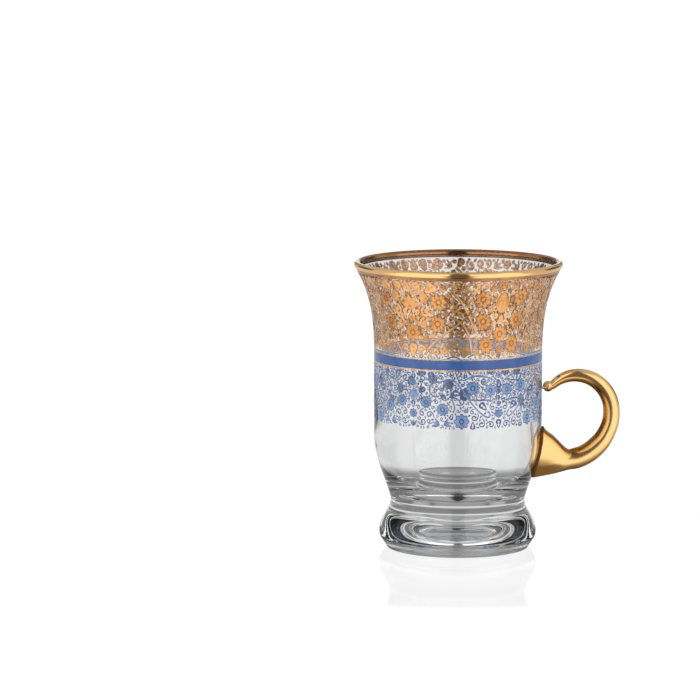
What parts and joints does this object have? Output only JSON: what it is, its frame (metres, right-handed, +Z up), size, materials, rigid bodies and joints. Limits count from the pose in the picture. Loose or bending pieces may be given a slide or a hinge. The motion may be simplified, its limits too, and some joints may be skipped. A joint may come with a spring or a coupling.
{
  "type": "turkish tea glass",
  "caption": "Clear waisted glass for hot tea with a flared gilt lip, gold and blue floral bands, a solid foot and a gilt hook handle; it stands empty.",
  "frame": {"origin": "on the surface the glass stands on, under the middle of the box round glass and handle; the cup's axis is 9.3 mm towards -X of it", "axes": "+Z up, +X towards the handle, +Y away from the viewer who sees the handle on the right"},
  "size_m": [0.0852, 0.0666, 0.092],
  "materials": {
    "clear_glass": "clear, fire polished",
    "bright_gold": "bright burnished gilding on glass",
    "print_gold": "satin gold print of fine scrolls and rosettes",
    "stripe_blue": "fired glossy enamel",
    "print_blue": "fired enamel print of fine scrolls and rosettes"
  },
  "bodies": {
    "root": {"glass_body": "clear_glass", "rim_gilding": "bright_gold", "gold_band": "print_gold", "blue_stripe": "stripe_blue", "blue_band": "print_blue", "handle": "bright_gold"}
  },
  "joints": []
}
